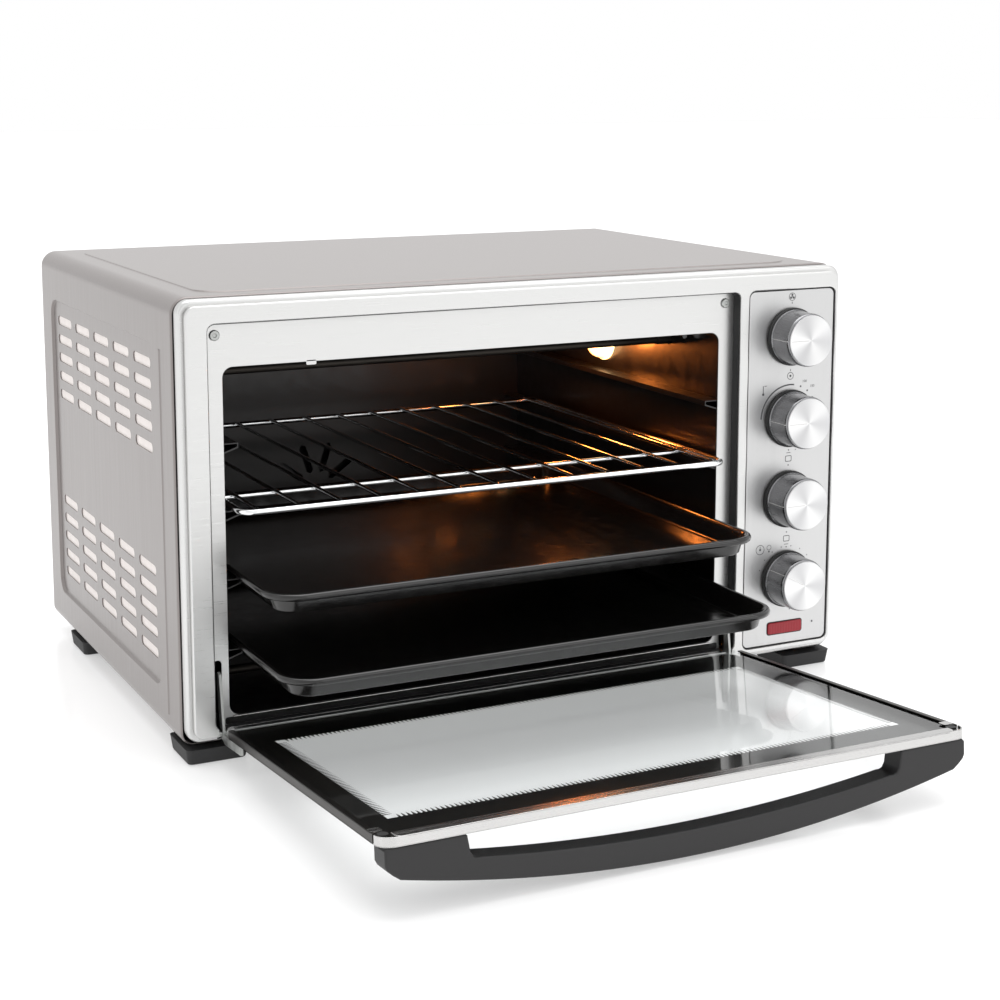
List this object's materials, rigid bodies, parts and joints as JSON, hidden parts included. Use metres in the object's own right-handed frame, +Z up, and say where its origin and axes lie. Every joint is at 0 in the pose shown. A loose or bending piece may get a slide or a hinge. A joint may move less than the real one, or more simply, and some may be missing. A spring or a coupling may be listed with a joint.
{
  "type": "toaster oven",
  "caption": "Countertop toaster oven with a drop-down glass door and bow handle, wire rack, baking trays, vented steel case, control knobs and convection fan.",
  "frame": {"origin": "under the middle of the oven's overall box with the door open, on the surface that it stands on", "axes": "+X to the right seen from the front, +Y from the front to the back, +Z up"},
  "size_m": [0.585, 0.732, 0.3509],
  "materials": {
    "brushed_steel": "satin brushed stainless steel",
    "case_steel": "brushed stainless steel sheet, slightly warm",
    "zinc_steel": "zinc plated steel sheet",
    "black_enamel": "glossy black vitreous enamel on steel",
    "chrome_wire": "chrome plated wire",
    "black_plastic": "matt black moulded plastic",
    "knob_skirt": "dark metallised plastic",
    "spun_aluminium": "spun aluminium",
    "clear_glass": "clear tempered glass with a black frit border",
    "red_lens": "translucent red lens",
    "switch_body": "moulded switch body",
    "ceramic": "white glazed insulating body",
    "heater_tube": "grey heater tube"
  },
  "bodies": {
    "root": {"outer_case": "case_steel", "rear_cover": "zinc_steel", "base_plate": "zinc_steel", "front_bezel": "brushed_steel", "cavity_front_frame": "brushed_steel", "control_panel": "brushed_steel", "cavity_left_wall": "black_enamel", "cavity_right_wall": "black_enamel", "cavity_roof": "black_enamel", "cavity_floor": "black_enamel", "cavity_rear_wall": "black_enamel", "upper_front_heater": "heater_tube", "upper_rear_heater": "heater_tube", "lower_front_heater": "heater_tube", "lower_rear_heater": "heater_tube", "lamp_socket": "ceramic", "lamp_bulb": "clear_glass", "lamp_lens": "clear_glass", "fan_motor": "zinc_steel", "heat_shield": "zinc_steel", "thermostat": "switch_body", "convection_switch": "switch_body", "heater_switch": "switch_body", "timer": "switch_body", "thermostat_probe": "chrome_wire", "indicator_lens": "red_lens", "indicator_holder": "black_plastic", "terminal_block": "ceramic", "cord_gland": "black_plastic", "foot_front_left": "black_plastic", "foot_front_right": "black_plastic", "foot_back_left": "black_plastic", "foot_back_right": "black_plastic", "frame_screw_left": "zinc_steel", "frame_screw_right": "zinc_steel", "hinge_pin_left": "zinc_steel", "hinge_pin_right": "zinc_steel"},
    "door": {"door_glass": "clear_glass", "door_top_trim": "brushed_steel", "door_bottom_rail": "zinc_steel", "door_handle": "black_plastic", "hinge_arm_left": "zinc_steel", "hinge_arm_right": "zinc_steel", "door_side_trim_left": "brushed_steel", "door_side_trim_right": "brushed_steel"},
    "wire_rack": {"wire_rack": "chrome_wire"},
    "baking_tray": {"baking_tray": "black_enamel"},
    "lower_tray": {"lower_tray": "black_enamel"},
    "fan": {"fan_impeller": "zinc_steel"},
    "convection_knob": {"convection_knob": "knob_skirt", "convection_knob_cap": "spun_aluminium"},
    "thermostat_knob": {"thermostat_knob": "knob_skirt", "thermostat_knob_cap": "spun_aluminium"},
    "heater_knob": {"heater_knob": "knob_skirt", "heater_knob_cap": "spun_aluminium"},
    "timer_knob": {"timer_knob": "knob_skirt", "timer_knob_cap": "spun_aluminium"}
  },
  "joints": [
    {"name": "door_hinge", "type": "hinge", "parent": "root", "child": "door", "pos_m": [-0.0405, -0.05701, 0.0225], "axis": [-1, 0, 0], "range_deg": [0, 85.5]},
    {"name": "wire_rack_slide", "type": "slide", "parent": "root", "child": "wire_rack", "axis": [0, 1, 0], "range_m": [0, 0.0255]},
    {"name": "baking_tray_slide", "type": "slide", "parent": "root", "child": "baking_tray", "axis": [0, 1, 0], "range_m": [0, 0.0856]},
    {"name": "lower_tray_slide", "type": "slide", "parent": "root", "child": "lower_tray", "axis": [0, 1, 0], "range_m": [0, 0.1175]},
    {"name": "fan_spin", "type": "hinge", "parent": "root", "child": "fan", "pos_m": [-0.0405, 0.33099, 0.1125], "axis": [0, 1, 0], "continuous": true},
    {"name": "convection_knob_turn", "type": "hinge", "parent": "root", "child": "convection_knob", "pos_m": [0.2398, -0.05901, 0.29125], "axis": [0, 1, 0], "range_deg": [-90, 90]},
    {"name": "thermostat_knob_turn", "type": "hinge", "parent": "root", "child": "thermostat_knob", "pos_m": [0.2398, -0.05901, 0.2217], "axis": [0, 1, 0], "range_deg": [0, 260]},
    {"name": "heater_knob_turn", "type": "hinge", "parent": "root", "child": "heater_knob", "pos_m": [0.2398, -0.05901, 0.1522], "axis": [0, 1, 0], "range_deg": [-90, 90]},
    {"name": "timer_knob_turn", "type": "hinge", "parent": "root", "child": "timer_knob", "pos_m": [0.2398, -0.05901, 0.0826], "axis": [0, 1, 0], "range_deg": [-30, 270]}
  ],
  "couplings": [
    {"joint": "wire_rack_slide", "follows": "door_hinge", "m_per_rad": 0.01705},
    {"joint": "baking_tray_slide", "follows": "door_hinge", "m_per_rad": 0.0573},
    {"joint": "lower_tray_slide", "follows": "door_hinge", "m_per_rad": 0.0786}
  ]
}
